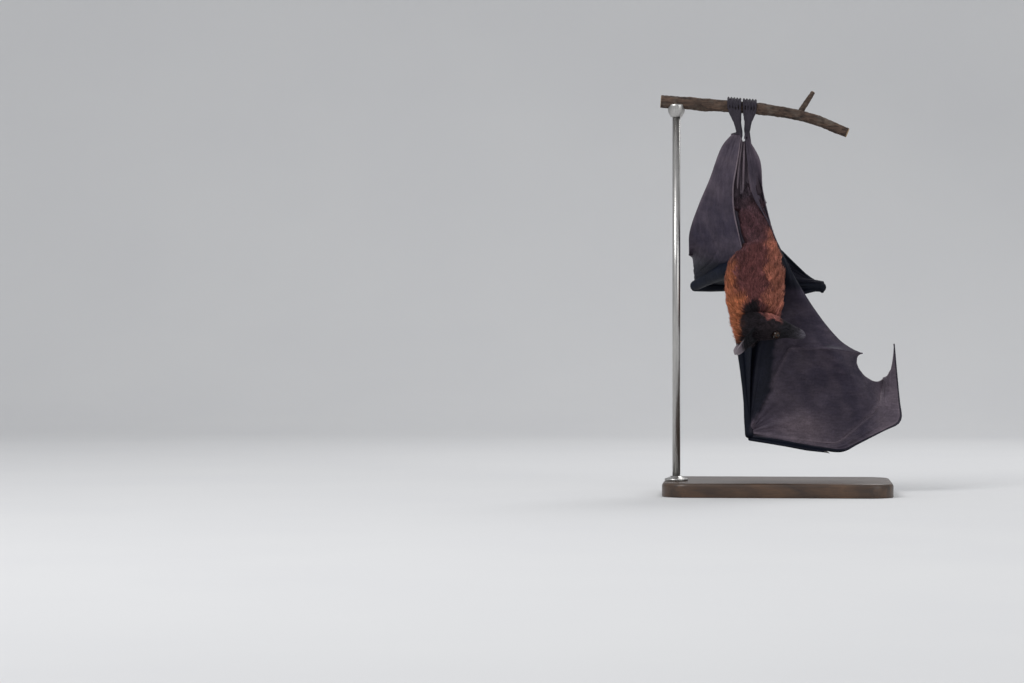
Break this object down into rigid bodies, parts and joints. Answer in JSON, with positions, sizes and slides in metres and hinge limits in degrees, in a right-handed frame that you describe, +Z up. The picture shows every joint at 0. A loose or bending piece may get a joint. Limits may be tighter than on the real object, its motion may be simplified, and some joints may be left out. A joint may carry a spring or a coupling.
{
  "type": "fruit bat",
  "caption": "Life-size fruit bat hanging by its feet from a cut branch, back towards the front, one wing half spread and one folded, on a rod with a flat base.",
  "frame": {"origin": "centre of the underside of the stand's base", "axes": "+Z up, +X along the branch away from the rod, -Y the side that the bat's back faces"},
  "size_m": [0.308, 0.2, 0.5126],
  "materials": {
    "mantle_fur": "rusty orange fur of the neck and shoulders",
    "back_fur": "dark chestnut fur",
    "face": "short blackish fur, bare at the nose and ears",
    "eye": "wet dark brown",
    "claw": "smooth black horn",
    "wing_skin": "thin slate-brown membrane, finely wrinkled",
    "bark": "brown bark with pale cut ends",
    "stand_wood": "satin dark wood",
    "stand_metal": "brushed"
  },
  "bodies": {
    "root": {"claw_finger_left": "claw", "claw_finger_right": "claw", "claw_thumb_left": "claw", "claw_thumb_right": "claw", "claw_toe_left_1": "claw", "claw_toe_left_2": "claw", "claw_toe_left_3": "claw", "claw_toe_left_4": "claw", "claw_toe_left_5": "claw", "claw_toe_right_1": "claw", "claw_toe_right_2": "claw", "claw_toe_right_3": "claw", "claw_toe_right_4": "claw", "claw_toe_right_5": "claw", "ear_left": "face", "ear_right": "face", "eye_left": "eye", "eye_right": "eye", "finger_2_left": "wing_skin", "finger_2_right": "wing_skin", "finger_3_left": "wing_skin", "finger_3_right": "wing_skin", "finger_4_left": "wing_skin", "finger_4_right": "wing_skin", "finger_5_left": "wing_skin", "finger_5_right": "wing_skin", "foot_left": "wing_skin", "foot_right": "wing_skin", "forearm_left": "wing_skin", "forearm_right": "wing_skin", "head": "face", "membrane_2_3_left": "wing_skin", "membrane_2_3_right": "wing_skin", "membrane_3_4_left": "wing_skin", "membrane_3_4_right": "wing_skin", "membrane_4_5_left": "wing_skin", "membrane_4_5_right": "wing_skin", "neck": "mantle_fur", "perch": "bark", "plagiopatagium_left": "wing_skin", "plagiopatagium_right": "wing_skin", "propatagium_left": "wing_skin", "propatagium_right": "wing_skin", "shin_left": "wing_skin", "shin_right": "wing_skin", "stand_base": "stand_wood", "stand_cup": "stand_metal", "stand_foot": "stand_metal", "stand_rod": "stand_metal", "thigh_left": "back_fur", "thigh_right": "back_fur", "thumb_left": "wing_skin", "thumb_right": "wing_skin", "trunk": "back_fur", "upper_arm_left": "mantle_fur", "upper_arm_right": "mantle_fur", "uropatagium": "wing_skin"}
  },
  "joints": []
}
